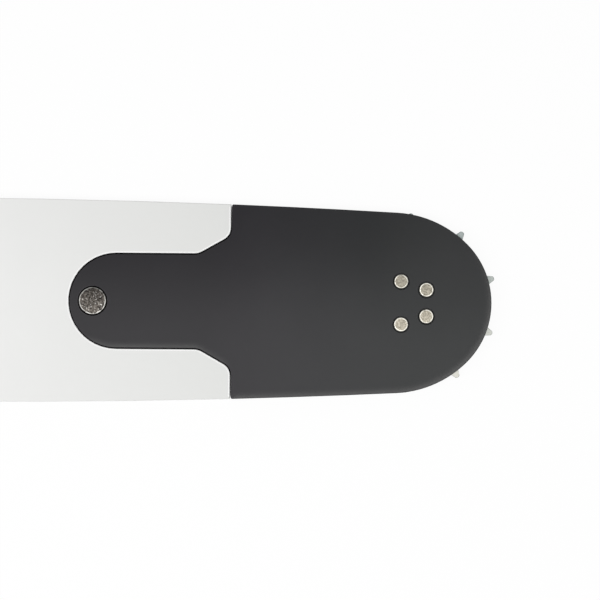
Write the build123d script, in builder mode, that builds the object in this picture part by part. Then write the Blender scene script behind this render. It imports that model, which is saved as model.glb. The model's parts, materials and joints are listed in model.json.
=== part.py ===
from build123d import *
from math import acos, asin, cos, degrees, radians, sin, tan
import os

# Guide bar for a chain saw, with a riveted-on sprocket nose. It lies flat: the nose points to +X,
# +Z stands on the side plate, and the origin is the centre of the mounting slot, at mid-thickness.
# All sizes are millimetres and degrees.

# Bar body
sprocket_x = 542.0
tail_length = 69.0
tail_corner_radius = 24.0
bar_thickness = 5.6
edge_rise = 4.0
edge_radius = 2960.0
edge_break = 0.2

# Chain groove that runs round both rails
groove_width = 2.1
groove_depth = 8.2

# Mounting slot, tensioner holes and oil holes in the tail
slot_length = 82.0
slot_width = 12.4
pin_hole_diameter = 8.6
pin_hole_x = -12.0
pin_hole_margin = 10.0
oil_hole_diameter = 3.6
oil_hole_x = 20.0

# Outline of the nose
nose_radius = 28.8
nose_arc_angle = 45.0
nose_blend_radius = 37.0

# Tongue that sets the nose into the bar
shoulder_setback = 61.0
flare_length = 11.3
flare_angle = 29.6
flare_round = 6.0
shoulder_round = 4.8
tongue_width = 32.5
tongue_length = 44.6
tongue_gap = 0.35
core_gap = 0.05
rail_corner_round = 0.6

# Sprocket
tooth_count = 10
tooth_reach = 2.2
tooth_tip_width = 1.3
tooth_tip_break = 0.3
gullet_radius = 5.0
sprocket_rim = 4.4
sprocket_side_clearance = 0.1
sprocket_phase = 16.5
pocket_clearance = 0.6

# Roller bearing
roller_count = 14
roller_diameter = 5.6
roller_spacing = 0.8
roller_clearance = 0.04

# Solid rivets, each a little proud of both plates
rivet_circle_radius = 7.8
rivet_angles = (36.0, 108.0, 252.0, 324.0)
nose_rivet_diameter = 5.0
nose_rivet_proud = 0.25
tongue_rivet_diameter = 9.4
tongue_rivet_proud = 0.5
tongue_rivet_margin = 8.0
rivet_clearance = 0.05
rivet_ring_gap = 0.3

# Values worked out from the sizes above
blend_offset = nose_blend_radius - nose_radius
nose_half_width = nose_blend_radius - blend_offset * sin(radians(nose_arc_angle))
half_width = nose_half_width + edge_rise
tail_round = min(tail_corner_radius, 0.9 * half_width)
edge_arc_angle = degrees(acos(1 - edge_rise / (edge_radius - nose_blend_radius)))
blend_arc_angle = 90 - nose_arc_angle - edge_arc_angle
edge_run = (edge_radius - nose_blend_radius) * sin(radians(edge_arc_angle))
edge_start_x = sprocket_x - blend_offset * cos(radians(nose_arc_angle)) - edge_run

groove_floor_y = half_width - groove_depth
pin_hole_y = groove_floor_y - pin_hole_margin

half_thickness = bar_thickness / 2
half_groove = groove_width / 2
plate_thickness = half_thickness - half_groove

shoulder_x = sprocket_x - shoulder_setback
flare_x = shoulder_x - flare_length
tongue_end_x = flare_x - tongue_length
tongue_centre_x = tongue_end_x + tongue_width / 2
tongue_rivet_x = tongue_end_x + tongue_rivet_margin

nose_rivet_radius = nose_rivet_diameter / 2
tongue_rivet_radius = tongue_rivet_diameter / 2
roller_circle_radius = (roller_diameter + roller_spacing) / (2 * sin(radians(180 / roller_count)))
race_radius = roller_circle_radius - roller_diameter / 2 - roller_clearance
bore_radius = roller_circle_radius + roller_diameter / 2 + roller_clearance
root_radius = bore_radius + sprocket_rim
tip_radius = nose_radius + tooth_reach
tip_break = min(tooth_tip_break, tooth_tip_width / 3)
running_thickness = groove_width - 2 * sprocket_side_clearance

nose_plane = Plane(origin=(sprocket_x, 0, 0))
beyond = 2 * (tip_radius + half_width)


def bar_outline(inset=0.0, mode=Mode.ADD):
    """Face inside the whole bar's edge, drawn in by inset along the rails and round the tip."""
    rail_y = half_width - inset
    with BuildLine() as outline:
        tail_end = Line((-tail_length, 0), (-tail_length, rail_y))
        rail = Line(tail_end @ 1, (edge_start_x, rail_y))
        edge = JernArc(rail @ 1, rail % 1, edge_radius - inset, -edge_arc_angle)
        blend = JernArc(edge @ 1, edge % 1, nose_blend_radius - inset, -blend_arc_angle)
        JernArc(blend @ 1, blend % 1, nose_radius - inset, -nose_arc_angle)
        mirror(about=Plane.XZ)
    make_face(outline.edges(), mode=mode)


def nose_region(gap=0.0, mode=Mode.ADD):
    """Face ahead of the shoulders with the tongue behind them, let out by gap on the bar's side."""
    side_y = tongue_width / 2 + gap
    start_x = flare_x - gap * tan(radians(flare_angle / 2))
    end_x = shoulder_x - gap
    corner_y = side_y + (end_x - start_x) * tan(radians(flare_angle))
    with BuildLine() as region:
        CenterArc((tongue_centre_x, 0), side_y, 90, 90)
        FilletPolyline(
            (tongue_centre_x, side_y),
            (start_x, side_y),
            (end_x, corner_y),
            (end_x, beyond),
            (sprocket_x + beyond, beyond),
            (sprocket_x + beyond, 0),
            radius=(flare_round - gap, shoulder_round - gap, 0, 0),
        )
        mirror(about=Plane.XZ)
    make_face(region.edges(), mode=mode)


def ahead_of(x):
    """Face that covers everything ahead of x."""
    with Locations((x, 0)):
        Rectangle(sprocket_x + beyond, 2 * beyond, align=(Align.MIN, Align.CENTER), mode=Mode.INTERSECT)


# Bar body: a solid plate with a groove in its rails and a thin web where the tongue straddles it
with BuildPart() as bar_body:
    with BuildSketch() as blank:
        bar_outline()
        fillet(blank.vertices().group_by(Axis.X)[0], tail_round)
    extrude(amount=half_thickness, both=True)
    with BuildSketch():
        nose_region(tongue_gap)
        ahead_of(flare_x)
    extrude(amount=bar_thickness, both=True, mode=Mode.SUBTRACT)
    for side in (1, -1):
        with BuildSketch(Plane.XY.offset(side * half_groove)):
            nose_region(tongue_gap)
        extrude(amount=side * plate_thickness, mode=Mode.SUBTRACT)
    side_faces = bar_body.faces().filter_by(Plane.XY).group_by(Axis.Z)
    chamfer(side_faces[0].edges() + side_faces[-1].edges(), edge_break)
    with BuildSketch():
        SlotOverall(slot_length, slot_width)
    extrude(amount=bar_thickness, both=True, mode=Mode.SUBTRACT)
    with Locations((pin_hole_x, pin_hole_y), (pin_hole_x, -pin_hole_y)):
        Hole(pin_hole_diameter / 2)
    with Locations((oil_hole_x, groove_floor_y), (oil_hole_x, -groove_floor_y)):
        Hole(oil_hole_diameter / 2)
    with Locations((tongue_rivet_x, 0)):
        Hole(tongue_rivet_radius + rivet_clearance)
    with BuildSketch():
        Rectangle(2 * (sprocket_x + beyond), 2 * beyond)
        bar_outline(groove_depth, mode=Mode.SUBTRACT)
    extrude(amount=half_groove, both=True, mode=Mode.SUBTRACT)


# Nose plates: a pair of side plates that reach back over the web, with a fine ring open round each rivet
with BuildPart() as nose_plate_upper:
    with BuildSketch(Plane.XY.offset(half_groove)):
        nose_region()
        bar_outline(mode=Mode.INTERSECT)
    extrude(amount=plate_thickness)
    rail_corners = nose_plate_upper.edges().filter_by(Axis.Z).group_by(Axis.Y)
    fillet(rail_corners[0] + rail_corners[-1], rail_corner_round)
    with Locations(nose_plane):
        for angle in rivet_angles:
            with PolarLocations(rivet_circle_radius, 1, start_angle=angle):
                Hole(nose_rivet_radius + rivet_ring_gap)
    with Locations((tongue_rivet_x, 0)):
        Hole(tongue_rivet_radius + rivet_ring_gap)

with BuildPart() as nose_plate_lower:
    mirror(nose_plate_upper.part, about=Plane.XY)


# Core that spaces the nose plates apart and fits close to the bar, with a round pocket for the sprocket
with BuildPart() as nose_core:
    with BuildSketch():
        nose_region(tongue_gap - core_gap)
        bar_outline(groove_depth, mode=Mode.INTERSECT)
        ahead_of(flare_x + core_gap)
        with Locations((sprocket_x, 0)):
            Circle(tip_radius + pocket_clearance, mode=Mode.SUBTRACT)
    extrude(amount=half_groove, both=True)


# Sprocket: round-bottomed gullets between blunt teeth, and a plain bore that runs on the rollers
with BuildSketch() as gullet:
    mouth_angle = 180 / tooth_count - degrees(asin(tooth_tip_width / (2 * tip_radius)))
    with Locations((root_radius + gullet_radius, 0)):
        Circle(gullet_radius)
    with BuildLine():
        mouth = PolarLine((0, 0), tip_radius, mouth_angle, mode=Mode.PRIVATE) @ 1
        Line(mouth, (mouth.X, -mouth.Y))
    make_hull()
    with Locations((mouth.X, 0)):
        Rectangle(tip_radius, 2 * mouth.Y, align=(Align.MIN, Align.CENTER))

with BuildPart() as nose_sprocket:
    with BuildSketch(nose_plane) as toothed_ring:
        Circle(tip_radius)
        with PolarLocations(0, tooth_count, start_angle=sprocket_phase + 180 / tooth_count):
            add(gullet.sketch, mode=Mode.SUBTRACT)
        chamfer(toothed_ring.vertices().group_by(SortBy.DISTANCE)[-1], tip_break)
        Circle(bore_radius, mode=Mode.SUBTRACT)
    extrude(amount=running_thickness / 2, both=True)


# Inner race: a disc held between the plates by the four nose rivets
with BuildPart() as bearing_race:
    with BuildSketch(nose_plane):
        Circle(race_radius)
        for angle in rivet_angles:
            with PolarLocations(rivet_circle_radius, 1, start_angle=angle):
                Circle(nose_rivet_radius + rivet_clearance, mode=Mode.SUBTRACT)
    extrude(amount=half_groove, both=True)


def rivet(x, y, radius, proud):
    """Straight rivet through both plates and what lies between them."""
    with BuildPart(Plane(origin=(x, y, 0))) as pin:
        Cylinder(radius, bar_thickness + 2 * proud)
    return pin


def nose_rivet(angle):
    """One of the rivets round the sprocket's centre."""
    x = sprocket_x + rivet_circle_radius * cos(radians(angle))
    y = rivet_circle_radius * sin(radians(angle))
    return rivet(x, y, nose_rivet_radius, nose_rivet_proud)


def bearing_roller(angle):
    """One roller of the full set between the race and the sprocket's bore."""
    x = sprocket_x + roller_circle_radius * cos(radians(angle))
    y = roller_circle_radius * sin(radians(angle))
    with BuildPart(Plane(origin=(x, y, 0))) as roller:
        Cylinder(roller_diameter / 2, running_thickness)
    return roller


pieces = {
    "bar_body": bar_body,
    "nose_plate_upper": nose_plate_upper,
    "nose_plate_lower": nose_plate_lower,
    "nose_core": nose_core,
    "nose_sprocket": nose_sprocket,
    "bearing_race": bearing_race,
    "tongue_rivet": rivet(tongue_rivet_x, 0, tongue_rivet_radius, tongue_rivet_proud),
}
for number, angle in enumerate(rivet_angles, start=1):
    pieces[f"nose_rivet_{number}"] = nose_rivet(angle)
for number in range(roller_count):
    pieces[f"bearing_roller_{number + 1:02d}"] = bearing_roller(number * 360 / roller_count)

os.makedirs("parts", exist_ok=True)
for name, piece in pieces.items():
    piece.part.label = name
    export_step(piece.part, f"parts/{name}.step")
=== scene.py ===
import json
import math

import bmesh
import bpy
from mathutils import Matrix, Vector, noise


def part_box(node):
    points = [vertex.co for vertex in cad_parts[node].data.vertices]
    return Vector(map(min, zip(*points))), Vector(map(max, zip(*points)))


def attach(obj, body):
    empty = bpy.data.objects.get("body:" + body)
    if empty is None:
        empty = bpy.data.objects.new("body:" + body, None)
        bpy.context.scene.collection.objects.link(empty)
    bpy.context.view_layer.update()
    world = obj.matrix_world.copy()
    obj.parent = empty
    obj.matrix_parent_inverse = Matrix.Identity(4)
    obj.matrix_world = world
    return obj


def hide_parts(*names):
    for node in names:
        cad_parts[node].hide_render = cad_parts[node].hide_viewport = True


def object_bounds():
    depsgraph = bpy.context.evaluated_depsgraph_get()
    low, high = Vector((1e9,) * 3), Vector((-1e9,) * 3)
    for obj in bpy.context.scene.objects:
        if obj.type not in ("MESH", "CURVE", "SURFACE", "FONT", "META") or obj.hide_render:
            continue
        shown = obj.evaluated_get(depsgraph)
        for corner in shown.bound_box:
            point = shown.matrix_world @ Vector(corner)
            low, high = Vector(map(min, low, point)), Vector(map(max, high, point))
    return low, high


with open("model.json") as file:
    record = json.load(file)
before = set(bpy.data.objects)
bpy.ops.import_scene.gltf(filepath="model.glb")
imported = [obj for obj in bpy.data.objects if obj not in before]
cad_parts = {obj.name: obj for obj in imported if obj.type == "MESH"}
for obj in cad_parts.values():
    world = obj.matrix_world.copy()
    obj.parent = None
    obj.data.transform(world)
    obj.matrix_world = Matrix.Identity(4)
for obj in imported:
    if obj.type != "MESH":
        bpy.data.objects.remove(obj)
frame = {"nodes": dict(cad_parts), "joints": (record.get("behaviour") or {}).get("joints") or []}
cad_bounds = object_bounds()

# Chain saw guide bar on a white table, seen from straight above. Lengths are metres.
MM = 0.001

# Places and sizes read from the frame
joint_of = {joint["name"]: joint for joint in frame["joints"]}
SPROCKET_CENTRE = Vector(joint_of["sprocket_spin"]["pos_m"])
PLATE_LOW, PLATE_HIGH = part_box("nose_plate_upper")
CORE_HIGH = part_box("nose_core")[1]
SHOULDER_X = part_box("bar_body")[1].x
TONGUE_END_X = PLATE_LOW.x
RAIL_Y = PLATE_HIGH.y
FACE_Z = PLATE_HIGH.z
FLOOR_Z = cad_bounds[0].z
NOSE_PLATES = ("nose_plate_upper", "nose_plate_lower")
NOSE_RIVETS = [f"nose_rivet_{number}" for number in range(1, 5)]
ROLLERS = [name for name in frame["nodes"] if name.startswith("bearing_roller")]

# Camera
VIEW_WIDTH = 207 * MM
VIEW_CENTRE = Vector((SPROCKET_CENTRE.x - 37.3 * MM, 0.75 * MM, FACE_Z))
VIEW_ROLL = math.radians(0.44)
LENS = 135
SENSOR = 36

# Light and floor
ROOM_STRENGTH = 0.42
STRIP_PLACE = (0.325, -0.090, 0.5)
STRIP_SIZE = (0.95, 0.202)
STRIP_RADIANCE = 4.2
FLOOR_REACH = 12.0
FLOOR_GREY = (0.9, 0.9, 0.9, 1)
FLOOR_GLOW = 0.94
FLOOR_OPEN = (0.15, 0.4)
FLOOR_SHADE_REACH = 8 * MM

# Edge rounding
PLATE_BEVEL = 0.2 * MM
TOOTH_BEVEL = 0.12 * MM
BEVEL_SEGMENTS = 2
SHARP_ANGLE = math.radians(35)
FLAT_ANGLE = math.radians(0.1)
WELD_REACH = 0.001 * MM

# Rivet ends: the rim's rounding, how far it wavers, the depth of the hammer marks, and how far up
# the rounding the painted shade of the shank goes, from 0 to 1
NOSE_END = {"rim": 0.5 * MM, "waver": 0.05 * MM, "depth": 0.02 * MM, "painted_shade_share": 0.56}
TONGUE_END = {"rim": 0.32 * MM, "waver": 0.22 * MM, "depth": 0.1 * MM, "painted_shade_share": 0.2}
RIVET_SEGMENTS = 96
RIM_STEPS = 8
FACE_STEPS = 18

# The bright rim ends this far up its rounding, from 0 to 1
RIM_TOP = 0.99

# Hammer marks: the inset is a share of the rim's rounding, and the sink a share of the marks' depth
MARK_SIZE = 0.8 * MM
FINE_MARK_SIZE = 0.4 * MARK_SIZE
FINE_MARK_SHIFT = Vector((3.1, 5.2, 1.7))
FINE_MARK_SHARE = 0.5
MARK_INSET = 0.6
MARK_SINK = 0.6

# Waver of a rim: bends in a turn, and how fast the pattern changes from rivet to rivet
WAVER_BENDS = 3
FINE_WAVER_BENDS = 9
FINE_WAVER_SHARE = 0.5
WAVER_CHANGE = 900

# Values of the materials. A pair of colours runs from dark to light. A pair of numbers is where a mask
# starts and where it is full, or a value's two ends.
BLACK = (0, 0, 0, 1)
WHITE = (1, 1, 1, 1)

# Painted shade down in the gaps, slits and recesses, nearly black
PAINTED_SHADE_BLACK = (0.003, 0.003, 0.003, 1)

# Most of a noise's values lie between these
NOISE_RANGE = (0.3, 0.7)

# How far a surface faces up, from 0 on a wall to 1 on a flat side
OFF_WALL = (0.1, 0.3)
PAINTED_SIDE = (0.3, 0.6)
STEEL_FLAT = (0.8, 0.9)
BROKEN_EDGE = (0.99, 0.9)
ON_FLAT = (0.97, 0.99)
OFF_FLAT = (0.99, 0.97)

# How far a rounded normal agrees with the plain one on a flat side
FLAT_AGREEMENT = 0.9995

# Samples of a mask that looks at what is near a point
MASK_SAMPLES = 8

# Bar paint with its painted shade towards the shoulder, and the bar's bare walls
PAINT = ((0.765, 0.767, 0.757, 1), (0.79, 0.792, 0.782, 1))
PAINT_SHADED = (0.705, 0.71, 0.695, 1)
PAINT_LIP = (0.94, 0.94, 0.935, 1)
PAINT_ROUGHNESS = (0.5, 0.58)
PAINT_GLOSS = 0.3
PAINT_CLOUD = 45 * MM
PAINT_SPECKLE = 2.5 * MM
PAINT_GRAIN = 0.5 * MM
PAINT_SHADE_X = (SHOULDER_X - 85 * MM, SHOULDER_X)
LIP_REACH = 0.75 * MM
LIP_AGREEMENT = 0.997
WALL_STEEL = ((0.50, 0.50, 0.49, 1), (0.72, 0.72, 0.71, 1))
WALL_LINE = 0.12 * MM
WALL_METALLIC = 0.9

# Where the bar has its recess for the nose, outside the chain groove
RECESS_X = (TONGUE_END_X - 2 * MM, TONGUE_END_X - 1 * MM)
RECESS_Y = (RAIL_Y - 0.6 * MM, RAIL_Y - 0.9 * MM)
RECESS_Z = (FACE_Z - 0.25 * MM, FACE_Z - 0.35 * MM)
GROOVE_FLOOR_Y = (CORE_HIGH.y, CORE_HIGH.y - 0.5 * MM)
GROOVE_WALL_Z = (CORE_HIGH.z + 0.02 * MM, CORE_HIGH.z + 0.05 * MM)

# Nose finish, with its painted highlights and painted shade
NOSE_VIOLET = ((0.0188, 0.0174, 0.0206, 1), (0.0214, 0.02, 0.0234, 1))
NOSE_GREEN = ((0.0178, 0.0192, 0.0196, 1), (0.0204, 0.0219, 0.0224, 1))
NOSE_LIGHTER_PATCH = (0.0275, 0.0283, 0.0291, 1)
NOSE_EDGE_HIGHLIGHT = (0.06, 0.06, 0.06, 1)
NOSE_LINE_HIGHLIGHT = (0.066, 0.066, 0.067, 1)
NOSE_ROUGHNESS = (0.15, 0.21)
NOSE_GLOSS = 0.11
NOSE_CLOUD = 22 * MM
NOSE_GRAIN = 0.35 * MM
DRIFT_X = (SHOULDER_X, SPROCKET_CENTRE.x)
LIGHTER_PATCH_X = (SPROCKET_CENTRE.x - 14 * MM, SPROCKET_CENTRE.x + 12 * MM)
LIGHTER_PATCH_Y = (0.0, 16 * MM)
TONGUE_X = (SHOULDER_X + 1 * MM, SHOULDER_X)
TONGUE_SHADE_X = (SHOULDER_X + 12 * MM, SHOULDER_X - 8 * MM)
TONGUE_SHADE = (0.0, 0.2)
# Painted highlight: a faint lighter line along the tongue's edge, broken into patches
LINE_WIDTH = 0.5 * MM
LINE_PATCH = 6 * MM
LINE_BREAKS = (0.3, 0.6)
LINE_STRENGTH = (0.4, 1.0)
# Painted highlight where the rounded edges of the lower rail and the tip lean towards the light
HIGHLIGHT_RAIL_Y = (-11.5 * MM, -13.5 * MM)
HIGHLIGHT_TIP_X = (SPROCKET_CENTRE.x + 14 * MM, SPROCKET_CENTRE.x + 18 * MM)
HIGHLIGHT_WIDTH = 3.4 * MM
HIGHLIGHT_LEAN = (0.01, 0.6)
HIGHLIGHT_LEAN_X_SHARE = 0.8
# Painted shade along the seam, darkest on bevels that lean towards +Y
SEAM_LEAN = (0.0, 0.6)
SEAM_DARK = (0.3, 1.0)

# Ground steel inside the nose
GROUND_LINE = 0.1 * MM
GROUND_PATCH = 3 * MM
GROUND_PATCH_STRENGTH = (0.7, 1.3)
GROUND_TONE = (0.25, 0.75)
GROUND_SMOOTHER = 0.05
GROUND_ROUGHER = 0.08

# Teeth, with painted light: lighter and warmer towards -Y, the side towards the light
TOOTH_SHADED = ((0.125, 0.142, 0.138, 1), (0.205, 0.226, 0.22, 1))
TOOTH_LIT = ((0.195, 0.192, 0.172, 1), (0.3, 0.296, 0.272, 1))
TOOTH_LIT_Y = (18 * MM, -26 * MM)
TOOTH_ROUGHNESS = (0.33, 0.43)
TOOTH_PATCH = 0.9 * MM
TOOTH_GRAIN = 0.3 * MM

# Rivets: ranges of noise, sizes as shares of the spots' size, and how far the roughness swings
RIVET_MOTTLE = (0.37, 0.63)
RIVET_GLINT = (0.58, 0.72)
RIVET_RIM_WEAR = (0.35, 0.55)
RIVET_GLINT_SIZE = 0.7
RIVET_WEAR_SIZE = 2
RIVET_PIT_SIZE = 0.5
RIVET_ROUGHNESS_SWING = 0.06


# Node helpers
def new_material(name):
    """Node material with a principled shader; returns the material, its tree and the shader."""
    material = bpy.data.materials.new(name)
    material.use_nodes = True
    tree = material.node_tree
    return material, tree, tree.nodes["Principled BSDF"]


def add_node(tree, kind, **settings):
    """Node of that kind with its properties set."""
    made = tree.nodes.new(kind)
    for key, value in settings.items():
        setattr(made, key, value)
    return made


def put(tree, value, socket):
    """Joins a socket to an input, or sets the input to a plain value."""
    if isinstance(value, bpy.types.NodeSocket):
        tree.links.new(value, socket)
    else:
        socket.default_value = value


def object_position(tree):
    """Point on the piece, in metres, in the part's frame."""
    return add_node(tree, "ShaderNodeTexCoord").outputs["Object"]


def parts_of(tree, vector):
    """The X, Y and Z sockets of a vector."""
    split = add_node(tree, "ShaderNodeSeparateXYZ")
    put(tree, vector, split.inputs[0])
    return split.outputs["X"], split.outputs["Y"], split.outputs["Z"]


def mark(tree, name):
    """A number that the piece's mesh holds at its corners."""
    return add_node(tree, "ShaderNodeAttribute", attribute_name=name).outputs["Fac"]


def grain(tree, size, detail, roughness=0.5, stretch=(1, 1, 1)):
    """Noise with features of about that size, from 0 to 1."""
    scaled = add_node(tree, "ShaderNodeVectorMath", operation="MULTIPLY")
    put(tree, object_position(tree), scaled.inputs[0])
    scaled.inputs[1].default_value = [1 / (size * factor) for factor in stretch]
    made = add_node(tree, "ShaderNodeTexNoise")
    put(tree, scaled.outputs[0], made.inputs["Vector"])
    made.inputs["Scale"].default_value = 1.0
    made.inputs["Detail"].default_value = detail
    made.inputs["Roughness"].default_value = roughness
    return made.outputs["Fac"]


def spread(tree, value, low, high, out_low=0.0, out_high=1.0):
    """Maps a value from one range to another, held at the ends."""
    made = add_node(tree, "ShaderNodeMapRange")
    put(tree, value, made.inputs["Value"])
    for key, number in zip(("From Min", "From Max", "To Min", "To Max"), (low, high, out_low, out_high)):
        made.inputs[key].default_value = number
    return made.outputs["Result"]


def blend(tree, factor, first, second):
    """Colour between two colours."""
    made = add_node(tree, "ShaderNodeMix", data_type="RGBA")
    put(tree, factor, made.inputs["Factor"])
    put(tree, first, made.inputs["A"])
    put(tree, second, made.inputs["B"])
    return made.outputs["Result"]


def math_node(tree, operation, first, second=0.0):
    """Result of a sum, product or the like."""
    made = add_node(tree, "ShaderNodeMath", operation=operation)
    put(tree, first, made.inputs[0])
    put(tree, second, made.inputs[1])
    return made.outputs[0]


def product(tree, *values):
    """All the values multiplied together."""
    result = values[0]
    for value in values[1:]:
        result = math_node(tree, "MULTIPLY", result, value)
    return result


def bump(tree, shader, height, depth, strength):
    """Fine relief of that depth on the shader's normal."""
    made = add_node(tree, "ShaderNodeBump")
    made.inputs["Strength"].default_value = strength
    made.inputs["Distance"].default_value = depth
    put(tree, height, made.inputs["Height"])
    put(tree, made.outputs["Normal"], shader.inputs["Normal"])


def facing_up(tree):
    """How far the surface faces up or down, from 0 on a wall to 1 on a flat side."""
    normal = add_node(tree, "ShaderNodeNewGeometry").outputs["True Normal"]
    return math_node(tree, "ABSOLUTE", parts_of(tree, normal)[2])


def rounded_normal(tree, radius):
    """Normal as if the piece's edges were rounded to that radius."""
    rounded = add_node(tree, "ShaderNodeBevel", samples=MASK_SAMPLES)
    rounded.inputs["Radius"].default_value = radius
    return rounded.outputs["Normal"]


def edge_mask(tree, radius, full=0.9):
    """1 along the piece's edges, within about that radius, and 0 on its flats."""
    normal = add_node(tree, "ShaderNodeNewGeometry").outputs["Normal"]
    agreement = add_node(tree, "ShaderNodeVectorMath", operation="DOT_PRODUCT")
    put(tree, rounded_normal(tree, radius), agreement.inputs[0])
    put(tree, normal, agreement.inputs[1])
    return spread(tree, agreement.outputs["Value"], FLAT_AGREEMENT, full)


# Materials
def bar_paint():
    """Pale satin paint, whiter at the recess's edge; bare steel walls; painted shade by the shoulder and
    down in the recess.
    """
    material, tree, shader = new_material("bar_paint")
    x, y, z = parts_of(tree, object_position(tree))
    across = math_node(tree, "ABSOLUTE", y)
    height = math_node(tree, "ABSOLUTE", z)
    level = facing_up(tree)
    painted = spread(tree, level, *PAINTED_SIDE)
    beside_nose = product(tree, spread(tree, x, *RECESS_X), spread(tree, across, *RECESS_Y))
    cloud = spread(tree, grain(tree, PAINT_CLOUD, detail=3.0), *NOISE_RANGE)
    paint = blend(tree, cloud, *PAINT)
    # Painted shade: the paint darkens towards the shoulder
    paint = blend(tree, spread(tree, x, *PAINT_SHADE_X), paint, PAINT_SHADED)
    broken_edge = product(tree, painted, spread(tree, level, *BROKEN_EDGE))
    lip = math_node(tree, "MAXIMUM", broken_edge, edge_mask(tree, LIP_REACH, LIP_AGREEMENT))
    lip = product(tree, beside_nose, lip)
    paint = blend(tree, lip, paint, PAINT_LIP)
    lines = grain(tree, WALL_LINE, detail=3.0, roughness=0.6, stretch=(60, 1, 1))
    steel = blend(tree, lines, *WALL_STEEL)
    surface = blend(tree, painted, steel, paint)
    inside_groove_floor = spread(tree, across, *GROOVE_FLOOR_Y)
    outside_groove_wall = spread(tree, height, *GROOVE_WALL_Z)
    off_groove = math_node(tree, "MAXIMUM", inside_groove_floor, outside_groove_wall)
    # Painted shade: near black down in the recess beside the nose
    recess_shade = product(tree, beside_nose, off_groove, spread(tree, height, *RECESS_Z))
    put(tree, blend(tree, recess_shade, surface, PAINTED_SHADE_BLACK), shader.inputs["Base Color"])
    bare = spread(tree, painted, 0.0, 1.0, WALL_METALLIC, 0.0)
    put(tree, math_node(tree, "MAXIMUM", bare, recess_shade), shader.inputs["Metallic"])
    speckle = grain(tree, PAINT_SPECKLE, detail=4.0)
    put(tree, spread(tree, speckle, *NOISE_RANGE, *PAINT_ROUGHNESS), shader.inputs["Roughness"])
    shader.inputs["Specular IOR Level"].default_value = PAINT_GLOSS
    bump(tree, shader, grain(tree, PAINT_GRAIN, detail=2.0), depth=0.01 * MM, strength=0.35)
    return material


def nose_black():
    """Satin charcoal: painted shade along the seam, a painted highlight line along the tongue's edge,
    and a greyer painted highlight along one rail and the tip.

    It drifts from slightly violet on the tongue to slightly green at the tip.
    """
    material, tree, shader = new_material("nose_black")
    x, y = parts_of(tree, object_position(tree))[:2]
    cloud = spread(tree, grain(tree, NOSE_CLOUD, detail=4.0, roughness=0.55), *NOISE_RANGE)
    violet = blend(tree, cloud, *NOSE_VIOLET)
    green = blend(tree, cloud, *NOSE_GREEN)
    black = blend(tree, spread(tree, x, *DRIFT_X), violet, green)
    # A lighter patch on the upper side of the nose
    lighter_patch = product(tree, spread(tree, x, *LIGHTER_PATCH_X), spread(tree, y, *LIGHTER_PATCH_Y))
    black = blend(tree, lighter_patch, black, NOSE_LIGHTER_PATCH)
    black = blend(tree, spread(tree, x, *TONGUE_SHADE_X, *TONGUE_SHADE), black, BLACK)
    on_tongue = spread(tree, x, *TONGUE_X)
    # Painted highlight: a faint lighter line along the tongue's edge
    patchy = spread(tree, grain(tree, LINE_PATCH, detail=3.0), *LINE_BREAKS, *LINE_STRENGTH)
    line = product(tree, on_tongue, patchy, edge_mask(tree, LINE_WIDTH))
    black = blend(tree, line, black, NOSE_LINE_HIGHLIGHT)
    # Painted highlight: lighter where the rounded edges of the lower rail and the tip lean towards the
    # light
    near_rail = spread(tree, y, *HIGHLIGHT_RAIL_Y)
    near_tip = spread(tree, x, *HIGHLIGHT_TIP_X)
    lean_x, lean_y = parts_of(tree, rounded_normal(tree, HIGHLIGHT_WIDTH))[:2]
    lean = math_node(tree, "SUBTRACT", math_node(tree, "MULTIPLY", lean_x, HIGHLIGHT_LEAN_X_SHARE), lean_y)
    outside = math_node(tree, "MAXIMUM", near_rail, near_tip)
    level = facing_up(tree)
    highlight_and_wear = product(tree, outside, spread(tree, lean, *HIGHLIGHT_LEAN), spread(tree, level, *ON_FLAT))
    black = blend(tree, highlight_and_wear, black, NOSE_EDGE_HIGHLIGHT)
    # Painted shade: near-black bevels along the seam, darkest where they lean towards +Y
    rounding = product(tree, spread(tree, level, *OFF_WALL), spread(tree, level, *OFF_FLAT))
    seam_shade = product(tree, on_tongue, rounding, spread(tree, lean_y, *SEAM_LEAN, *SEAM_DARK))
    put(tree, blend(tree, seam_shade, black, PAINTED_SHADE_BLACK), shader.inputs["Base Color"])
    put(tree, seam_shade, shader.inputs["Metallic"])
    fine = grain(tree, NOSE_GRAIN, detail=3.0, roughness=0.6)
    put(tree, spread(tree, fine, *NOISE_RANGE, *NOSE_ROUGHNESS), shader.inputs["Roughness"])
    shader.inputs["Specular IOR Level"].default_value = NOSE_GLOSS
    bump(tree, shader, fine, depth=0.004 * MM, strength=0.2)
    return material


def ground_steel(name, dark, light, roughness, flats=None):
    """Ground steel with fine lines across it; its flat sides can have a tone of their own, such as
    painted shade.
    """
    material, tree, shader = new_material(name)
    lines = grain(tree, GROUND_LINE, detail=3.0, roughness=0.6, stretch=(1, 14, 1))
    patch = grain(tree, GROUND_PATCH, detail=3.0)
    strength = spread(tree, patch, *NOISE_RANGE, *GROUND_PATCH_STRENGTH)
    tone = math_node(tree, "MULTIPLY", lines, strength)
    surface = blend(tree, spread(tree, tone, *GROUND_TONE), dark, light)
    if flats:
        surface = blend(tree, spread(tree, facing_up(tree), *STEEL_FLAT), surface, flats)
    put(tree, surface, shader.inputs["Base Color"])
    shader.inputs["Metallic"].default_value = 1.0
    smoother = roughness - GROUND_SMOOTHER
    rougher = roughness + GROUND_ROUGHER
    put(tree, spread(tree, patch, *NOISE_RANGE, smoother, rougher), shader.inputs["Roughness"])
    bump(tree, shader, lines, depth=0.004 * MM, strength=0.3)
    return material


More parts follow.
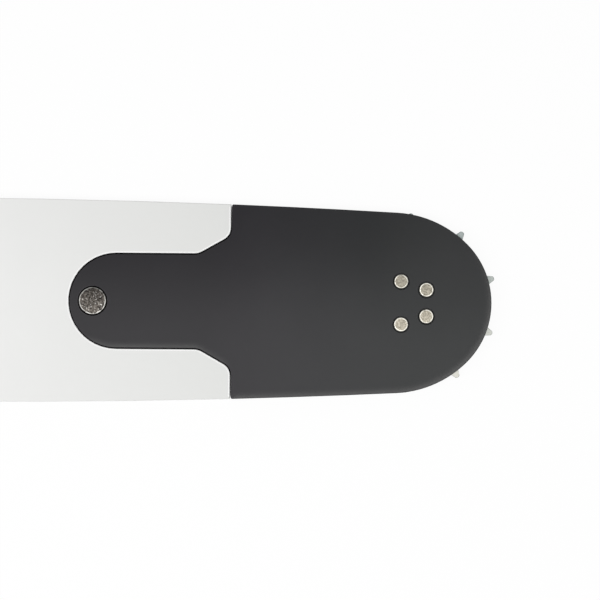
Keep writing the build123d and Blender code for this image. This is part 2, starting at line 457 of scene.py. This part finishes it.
def tooth_steel():
    """Bright steel teeth with painted light: cool and darker on the side away from the light, creamy and
    lighter on the side towards it.
    """
    material, tree, shader = new_material("tooth_steel")
    patch = spread(tree, grain(tree, TOOTH_PATCH, detail=4.0, roughness=0.6), *NOISE_RANGE)
    shaded_steel = blend(tree, patch, *TOOTH_SHADED)
    lit_steel = blend(tree, patch, *TOOTH_LIT)
    y = parts_of(tree, object_position(tree))[1]
    put(tree, blend(tree, spread(tree, y, *TOOTH_LIT_Y), shaded_steel, lit_steel), shader.inputs["Base Color"])
    shader.inputs["Metallic"].default_value = 1.0
    put(tree, spread(tree, patch, 0.0, 1.0, *TOOTH_ROUGHNESS), shader.inputs["Roughness"])
    bump(tree, shader, grain(tree, TOOTH_GRAIN, detail=3.0), depth=0.01 * MM, strength=0.4)
    return material


def darkened(tree, colour, y, reach, share):
    """The colour with painted shade towards +Y: as it is at -reach, and darker by that share at +reach.
    """
    return blend(tree, spread(tree, y, -reach, reach, 0.0, share), colour, BLACK)


def rivet_metal(
    name, dark, light, glint, spot_size, rim_tone, rim_wear, roughness, painted_shade_reach, painted_top_shade, painted_rim_shade
):
    """Metal of a rivet: mottled on top, bright where the rim turns down, with painted shade down its
    shank and towards +Y.
    """
    material, tree, shader = new_material(name)
    spots = grain(tree, spot_size, detail=5.0, roughness=0.65)
    top = blend(tree, spread(tree, spots, *RIVET_MOTTLE), dark, light)
    glints = grain(tree, RIVET_GLINT_SIZE * spot_size, detail=3.0)
    top = blend(tree, spread(tree, glints, *RIVET_GLINT), top, glint)
    y = parts_of(tree, object_position(tree))[1]
    # Painted shade: the top and the rim darken towards +Y
    top = darkened(tree, top, y, painted_shade_reach, painted_top_shade)
    rim_colour = darkened(tree, rim_tone, y, painted_shade_reach, painted_rim_shade)
    wear = grain(tree, RIVET_WEAR_SIZE * spot_size, detail=4.0)
    highlight_and_wear = spread(tree, wear, *RIVET_RIM_WEAR, rim_wear, 1.0)
    end = blend(tree, product(tree, highlight_and_wear, mark(tree, "rim")), top, rim_colour)
    # Painted shade: near black down the shank and the lower part of the rim's rounding
    put(tree, blend(tree, mark(tree, "shank"), end, PAINTED_SHADE_BLACK), shader.inputs["Base Color"])
    shader.inputs["Metallic"].default_value = 1.0
    rougher = roughness + RIVET_ROUGHNESS_SWING
    smoother = roughness - RIVET_ROUGHNESS_SWING
    put(tree, spread(tree, spots, *NOISE_RANGE, rougher, smoother), shader.inputs["Roughness"])
    pits = grain(tree, RIVET_PIT_SIZE * spot_size, detail=4.0, roughness=0.6)
    bump(tree, shader, pits, depth=0.02 * MM, strength=0.5)
    return material


# Pieces
def add_object(name, data):
    """New object with that data, in the scene."""
    made = bpy.data.objects.new(name, data)
    bpy.context.scene.collection.objects.link(made)
    return made


def dress(nodes, material):
    """Puts one material on CAD nodes."""
    for name in nodes:
        slots = frame["nodes"][name].data.materials
        slots.clear()
        slots.append(material)


def round_edges(node, width):
    """Small rounded edges on a CAD node."""
    piece = frame["nodes"][node]
    weld = piece.modifiers.new("weld", "WELD")
    weld.merge_threshold = WELD_REACH
    flats = piece.modifiers.new("flats", "DECIMATE")
    flats.decimate_type = "DISSOLVE"
    flats.angle_limit = FLAT_ANGLE
    bevel = piece.modifiers.new("edge", "BEVEL")
    bevel.width = width
    bevel.segments = BEVEL_SEGMENTS
    bevel.limit_method = "ANGLE"
    bevel.angle_limit = SHARP_ANGLE
    weighted = piece.modifiers.new("normals", "WEIGHTED_NORMAL")
    weighted.keep_sharp = False


def rivet_profile(radius, half, rim):
    """Radius and height of each ring of a rivet, from its lower end's middle to its upper end's."""
    upper = []
    for step in range(RIM_STEPS + 1):
        turn = math.radians(90 * step / RIM_STEPS)
        upper.append((radius - rim * (1 - math.cos(turn)), half - rim * (1 - math.sin(turn))))
    for step in range(1, FACE_STEPS):
        upper.append(((radius - rim) * (1 - step / FACE_STEPS), half))
    return [(reach, -height) for reach, height in reversed(upper)] + upper


def hammer_marks(point, depth):
    """Height of the hammer marks at a point of a rivet's end."""
    coarse = noise.noise(point / MARK_SIZE)
    fine = noise.noise(point / FINE_MARK_SIZE + FINE_MARK_SHIFT)
    return depth * (coarse + FINE_MARK_SHARE * fine)


def rim_waver(way, centre):
    """How far a rivet's rim is drawn in on one side, from 0 to 1."""
    start = WAVER_CHANGE * centre
    coarse = abs(noise.noise(WAVER_BENDS * way + start))
    fine = abs(noise.noise(FINE_WAVER_BENDS * way + start))
    return min(coarse + FINE_WAVER_SHARE * fine, 1.0)


def skin_rivet(mesh, rings, centre, end_height):
    """Faces from ring to ring, and a fan of faces that closes each end."""
    for ring, after in zip(rings, rings[1:]):
        for step in range(RIVET_SEGMENTS):
            ahead = (step + 1) % RIVET_SEGMENTS
            mesh.faces.new((ring[step], ring[ahead], after[ahead], after[step]))
    for ring, side in ((rings[0], -1), (rings[-1], 1)):
        hub = mesh.verts.new((centre.x, centre.y, side * end_height))
        for step in range(RIVET_SEGMENTS):
            pair = (ring[step], ring[(step + 1) % RIVET_SEGMENTS])
            mesh.faces.new((hub, *pair) if side > 0 else (hub, *reversed(pair)))


def rivet_piece(node, material, rim, waver, depth, painted_shade_share):
    """Finer rivet in a node's place: uneven rounded rims and hammered ends on a straight shank."""
    low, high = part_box(node)
    centre = (low + high) / 2
    radius = (high.x - low.x) / 2
    half = (high.z - low.z) / 2
    mesh = bmesh.new()
    rim_mark = mesh.verts.layers.float.new("rim")
    shank_mark = mesh.verts.layers.float.new("shank")
    rings = []
    for reach, height in rivet_profile(radius, half, rim):
        climb = (abs(height) - half + rim) / rim
        hammered = max(0.0, min(1.0, (radius - MARK_INSET * rim - reach) / rim))
        ring = []
        for step in range(RIVET_SEGMENTS):
            turn = 2 * math.pi * step / RIVET_SEGMENTS
            way = Vector((math.cos(turn), math.sin(turn), 0))
            drawn_in = reach * (1 - max(0.0, climb) * waver / radius * rim_waver(way, centre))
            point = Vector((centre.x, centre.y, height)) + drawn_in * way
            sink = hammered * (hammer_marks(point, depth) - MARK_SINK * depth)
            point.z += math.copysign(1, height) * min(sink, 0)
            corner = mesh.verts.new(point)
            corner[rim_mark] = 1.0 if painted_shade_share < climb < RIM_TOP else 0.0
            corner[shank_mark] = 1.0 if climb <= painted_shade_share else 0.0
            ring.append(corner)
        rings.append(ring)
    skin_rivet(mesh, rings, centre, half - MARK_SINK * depth)
    data = bpy.data.meshes.new(f"{node}_end")
    mesh.to_mesh(data)
    mesh.free()
    for face in data.polygons:
        face.use_smooth = True
    data.materials.append(material)
    piece = add_object(f"{node}_peened", data)
    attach(piece, "bar")
    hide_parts(node)
    return piece


# The core's and the race's flat sides are near black: painted shade where they show through the gaps
core_steel = ground_steel(
    "core_steel",
    dark=(0.09, 0.09, 0.088, 1),
    light=(0.2, 0.2, 0.195, 1),
    roughness=0.45,
    flats=PAINTED_SHADE_BLACK,
)
race_steel = ground_steel(
    "race_steel",
    dark=(0.3, 0.3, 0.3, 1),
    light=(0.5, 0.5, 0.49, 1),
    roughness=0.3,
    flats=(0.02, 0.02, 0.02, 1),
)
roller_steel = ground_steel(
    "roller_steel",
    dark=(0.52, 0.52, 0.52, 1),
    light=(0.72, 0.72, 0.72, 1),
    roughness=0.25,
)
dress(["bar_body"], bar_paint())
dress(NOSE_PLATES, nose_black())
dress(["nose_sprocket"], tooth_steel())
dress(["nose_core"], core_steel)
dress(["bearing_race"], race_steel)
dress(ROLLERS, roller_steel)

for plate in NOSE_PLATES:
    round_edges(plate, PLATE_BEVEL)
round_edges("nose_sprocket", TOOTH_BEVEL)

nickel = rivet_metal(
    "rivet_nickel",
    dark=(0.155, 0.142, 0.112, 1),
    light=(0.34, 0.314, 0.258, 1),
    glint=(0.40, 0.38, 0.33, 1),
    spot_size=0.55 * MM,
    rim_tone=(0.76, 0.74, 0.67, 1),
    rim_wear=0.35,
    roughness=0.5,
    painted_shade_reach=9 * MM,
    painted_top_shade=0.3,
    painted_rim_shade=0.0,
)
for rivet in NOSE_RIVETS:
    nose_end = rivet_piece(rivet, nickel, **NOSE_END)
peened = rivet_metal(
    "peened_steel",
    dark=(0.009, 0.008, 0.007, 1),
    light=(0.145, 0.13, 0.115, 1),
    glint=(0.55, 0.53, 0.50, 1),
    spot_size=0.72 * MM,
    rim_tone=(0.66, 0.65, 0.62, 1),
    rim_wear=0.1,
    roughness=0.5,
    painted_shade_reach=4.2 * MM,
    painted_top_shade=0.7,
    painted_rim_shade=0.65,
)
tongue_end = rivet_piece("tongue_rivet", peened, **TONGUE_END)


# Stage
def seen_rays(tree):
    """1 for rays from the camera, a mirror or glass, and 0 for the light that falls on things."""
    path = add_node(tree, "ShaderNodeLightPath").outputs
    seen = math_node(tree, "MAXIMUM", path["Is Camera Ray"], path["Is Glossy Ray"])
    return math_node(tree, "MAXIMUM", seen, path["Is Transmission Ray"])


def white_floor():
    """White table top that keeps a faint shadow, and is dark where the bar covers it."""
    material, tree, shader = new_material("floor_white")
    tree.nodes.remove(shader)
    matt = add_node(tree, "ShaderNodeBsdfDiffuse")
    matt.inputs["Color"].default_value = FLOOR_GREY
    glow = add_node(tree, "ShaderNodeEmission")
    open_above = add_node(tree, "ShaderNodeAmbientOcclusion", samples=MASK_SAMPLES)
    open_above.inputs["Distance"].default_value = FLOOR_SHADE_REACH
    clear = spread(tree, open_above.outputs["AO"], *FLOOR_OPEN, 0.0, FLOOR_GLOW)
    mix = add_node(tree, "ShaderNodeMixShader")
    put(tree, product(tree, seen_rays(tree), clear), mix.inputs["Fac"])
    put(tree, matt.outputs["BSDF"], mix.inputs[1])
    put(tree, glow.outputs["Emission"], mix.inputs[2])
    put(tree, mix.outputs["Shader"], tree.nodes["Material Output"].inputs["Surface"])
    data = bpy.data.meshes.new("floor")
    sides = ((-1, -1), (1, -1), (1, 1), (-1, 1))
    corners = [(side_x * FLOOR_REACH, side_y * FLOOR_REACH, FLOOR_Z) for side_x, side_y in sides]
    data.from_pydata(corners, [], [(0, 1, 2, 3)])
    data.materials.append(material)
    floor = add_object("floor", data)


def white_room(strength):
    """Even pale light all round, white where it is seen."""
    world = bpy.data.worlds.new("room")
    bpy.context.scene.world = world
    world.use_nodes = True
    tree = world.node_tree
    back = tree.nodes["Background"]
    back.inputs["Color"].default_value = WHITE
    put(tree, spread(tree, seen_rays(tree), 0.0, 1.0, strength, 1.0), back.inputs["Strength"])


def softbox(name, place, size, radiance):
    """Rectangular soft light that hangs level and faces down."""
    data = bpy.data.lights.new(name, "AREA")
    data.shape = "RECTANGLE"
    data.size, data.size_y = size
    data.energy = radiance * math.pi * size[0] * size[1]
    lamp = add_object(name, data)
    lamp.location = place
    lamp.visible_camera = False


def camera_above():
    """Camera that looks straight down, high enough to see the width of the view."""
    data = bpy.data.cameras.new("camera")
    data.lens = LENS
    data.sensor_width = SENSOR
    camera = add_object("camera", data)
    camera.location = VIEW_CENTRE + Vector((0, 0, VIEW_WIDTH * LENS / SENSOR))
    camera.rotation_euler = (0, 0, VIEW_ROLL)
    bpy.context.scene.camera = camera


white_floor()
white_room(ROOM_STRENGTH)
softbox("strip", STRIP_PLACE, STRIP_SIZE, STRIP_RADIANCE)
camera_above()
bpy.context.scene.view_settings.view_transform = "Standard"
